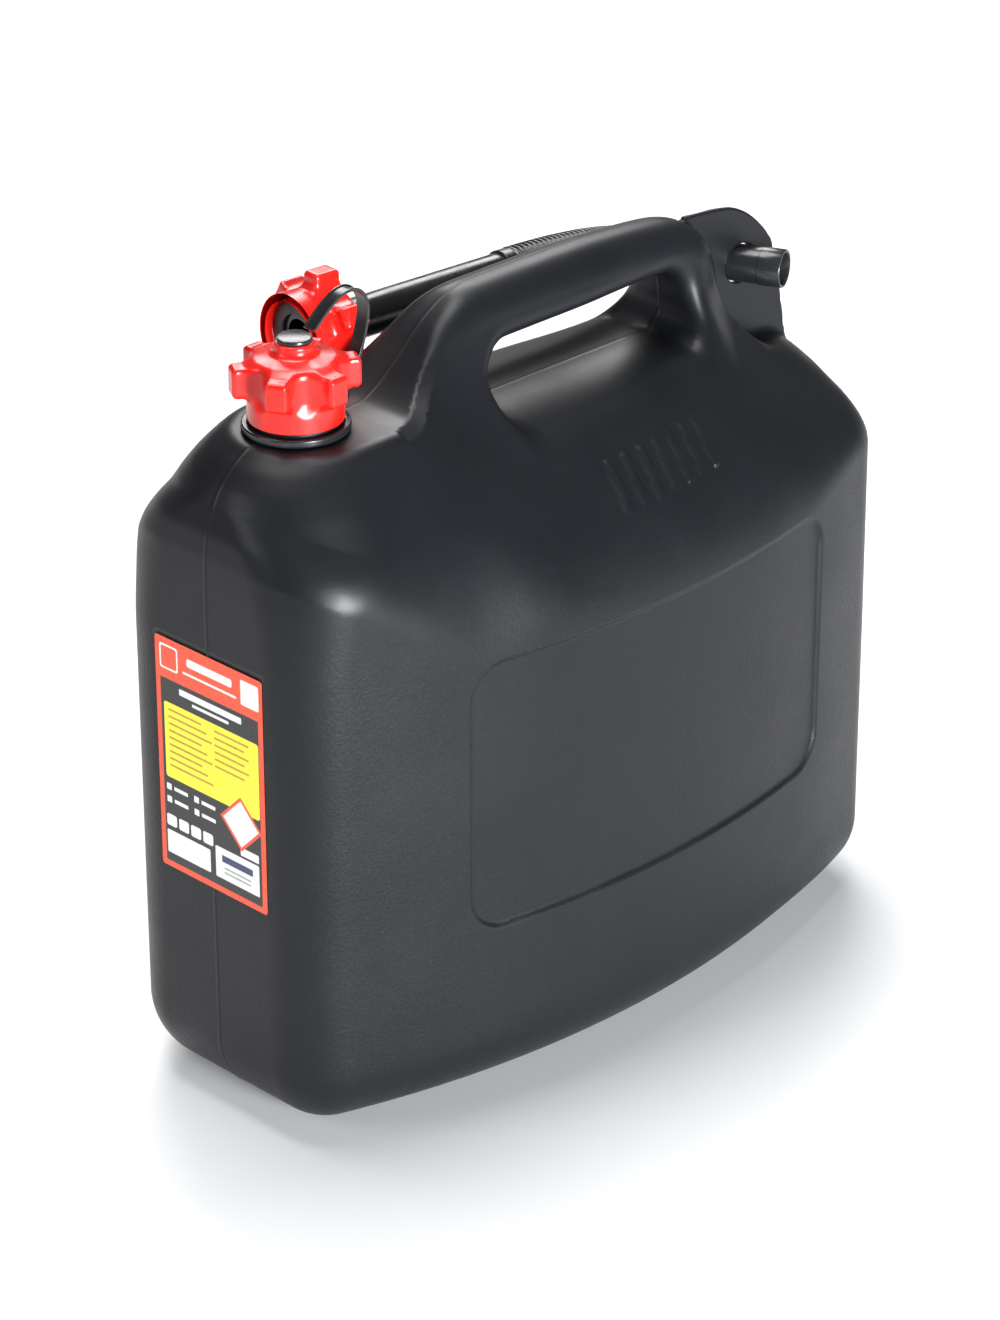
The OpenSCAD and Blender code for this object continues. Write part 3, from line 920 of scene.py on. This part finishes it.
def spout_pipe():
    profile = [(5.25, 8.75), (5.25, 17.8), (5.6, 18.2), (7.3, 18.2), (7.65, 17.8), (7.65, 11.6), (8.2, 10.9),
               (9.2, 10.45), (60, 10.4), (128, 10.3), (131.4, 10.2), (131.9, 9.9), (131.9, 8.75)]
    made = profile_piece("pipe_tube", NUT_AT, PIPE_DIR, profile, spout_plastic)
    keep_edges(made, 40)
    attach(made, "spout")
    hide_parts("spout_pipe")


def spout_hose():
    """A ribbed hose round the handle's post, with a plain cuff at each end."""
    t = np.linspace(0, 1, 401)[:, None]
    path = cubic(HOSE_START, HOSE_START + 72 * PIPE_DIR, HOSE_END - 27 * TIP_DIR, HOSE_END, t)
    gone = np.concatenate([[0], np.cumsum(np.linalg.norm(np.diff(path, axis=0), axis=1))])
    total = gone[-1]
    ribs = round((total - 12) / 3.1)
    pitch = (total - 12) / ribs
    sides, rings = 40, []
    for s in np.linspace(0, total, ribs * 8 + 1):
        wave = 0.5 - 0.5 * math.cos(2 * math.pi * (s - 6) / pitch)
        body = ease(5.5, 7.0, s) * ease(total - 5.5, total - 7.0, s)
        rings.append((s, 11.3 + body * (wave**0.7 * 1.1 - 0.75)))
    rings += [(s, 9.05) for s in np.linspace(total, 0, 40)]
    angle = np.linspace(0, 2 * math.pi, sides, endpoint=False)
    points = []
    for s, r in rings:
        i = min(max(int(np.searchsorted(gone, s)), 1), 400)
        f = (s - gone[i - 1]) / (gone[i] - gone[i - 1])
        at = path[i - 1] * (1 - f) + path[i] * f
        aim = path[i] - path[i - 1]
        aim /= np.linalg.norm(aim)
        u = np.cross(UP, aim)
        u /= np.linalg.norm(u)
        v = np.cross(aim, u)
        points.append(at + r * (np.cos(angle)[:, None] * u + np.sin(angle)[:, None] * v))
    made = piece("hose_ribbed", np.vstack(points), tube_faces(len(rings), sides, True), spout_plastic)
    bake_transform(made)
    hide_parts("spout_hose")


def spout_outlet():
    profile = [(0.1, 8.05), (0.1, 9.3), (0.5, 9.65), (42.8, 9.65), (43.1, 9.95), (54.4, 9.95), (54.9, 9.6),
               (54.95, 9.0), (54.6, 8.4), (53.6, 8.05)]
    made = profile_piece("outlet_tube", HOSE_END, TIP_DIR, profile, spout_plastic)
    keep_edges(made, 35)
    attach(made, "spout_tip")
    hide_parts("spout_outlet")
    profile = [(3.05, 1.65), (3.05, 2.45), (51.7, 2.45), (51.95, 2.2), (51.95, 1.65)]
    made = profile_piece("air_pipe", HOSE_END + AIR_TUBE_UP * UP, TIP_DIR, profile, trim_plastic,
                         32)
    keep_edges(made, 35)
    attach(made, "spout_tip")
    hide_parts("air_tube")


seal_ring("nut_gasket", NUT_AT, PIPE_DIR, 11.55, 17.9, 3.25, 5.15, "spout", "spout_seal")
spout_pipe()
spout_hose()
spout_outlet()


# ---------------------------------------------------------------- camera, light and floor

def place_camera():
    """The camera stands in front of the can's left end, above it."""
    data = bpy.data.cameras.new("camera")
    made = bpy.data.objects.new("camera", data)
    bpy.context.scene.collection.objects.link(made)
    made.location = (-1.4315, -1.4111, 1.1767)
    forward = Vector((0.6346, 0.6305, -0.4470)).normalized()
    made.rotation_euler = forward.to_track_quat("-Z", "Y").to_euler()
    data.sensor_width = 36
    data.lens = 122.03
    data.clip_start = 0.05
    bpy.context.scene.camera = made


def area_light(name, place, aim, size, power, color=(1, 1, 1)):
    data = bpy.data.lights.new(name, "AREA")
    data.shape = "RECTANGLE"
    data.size, data.size_y = size
    data.energy = power
    data.color = color
    made = bpy.data.objects.new(name, data)
    bpy.context.scene.collection.objects.link(made)
    made.location = place
    made.rotation_euler = (Vector(aim) - Vector(place)).to_track_quat("-Z", "Y").to_euler()


def floor_sheet():
    mesh = bpy.data.meshes.new("floor")
    s = 12.0
    mesh.from_pydata([(-s, -s, 0), (s, -s, 0), (s, s, 0), (-s, s, 0)], [], [(0, 1, 2, 3)])
    made = bpy.data.objects.new("floor", mesh)
    bpy.context.scene.collection.objects.link(made)
    p = Paint("floor")
    tone = p.noise(3.0, 2.0)
    p.set(Base_Color=p.mix(tone, (0.82, 0.82, 0.82, 1), (0.85, 0.85, 0.85, 1)), Roughness=0.9)
    p.set(Specular_IOR_Level=0.1)
    made.data.materials.append(p.material)


def light_room():
    world = bpy.data.worlds.new("studio")
    bpy.context.scene.world = world
    world.use_nodes = True
    tree = world.node_tree
    ground = tree.nodes["Background"]
    ground.inputs["Color"].default_value = (1, 1, 1, 1)
    ground.inputs["Strength"].default_value = 0.12
    aim = (0, 0, 0.2)
    area_light("key", (-0.75, -3.1, 0.55), (-0.2, -0.1, 0.2), (0.8, 1.05), 260, (0.93, 0.96, 1))
    area_light("left", (-2.6, 1.0, 1.6), aim, (1.2, 1.2), 18)
    area_light("back", (2.2, 2.4, 2.6), (1.6, 1.7, 0), (2.0, 2.0), 120)
    area_light("top", (0.1, 0.5, 2.8), aim, (1.6, 1.2), 62)


place_camera()
light_room()
floor_sheet()
bpy.context.scene.view_settings.view_transform = "Standard"
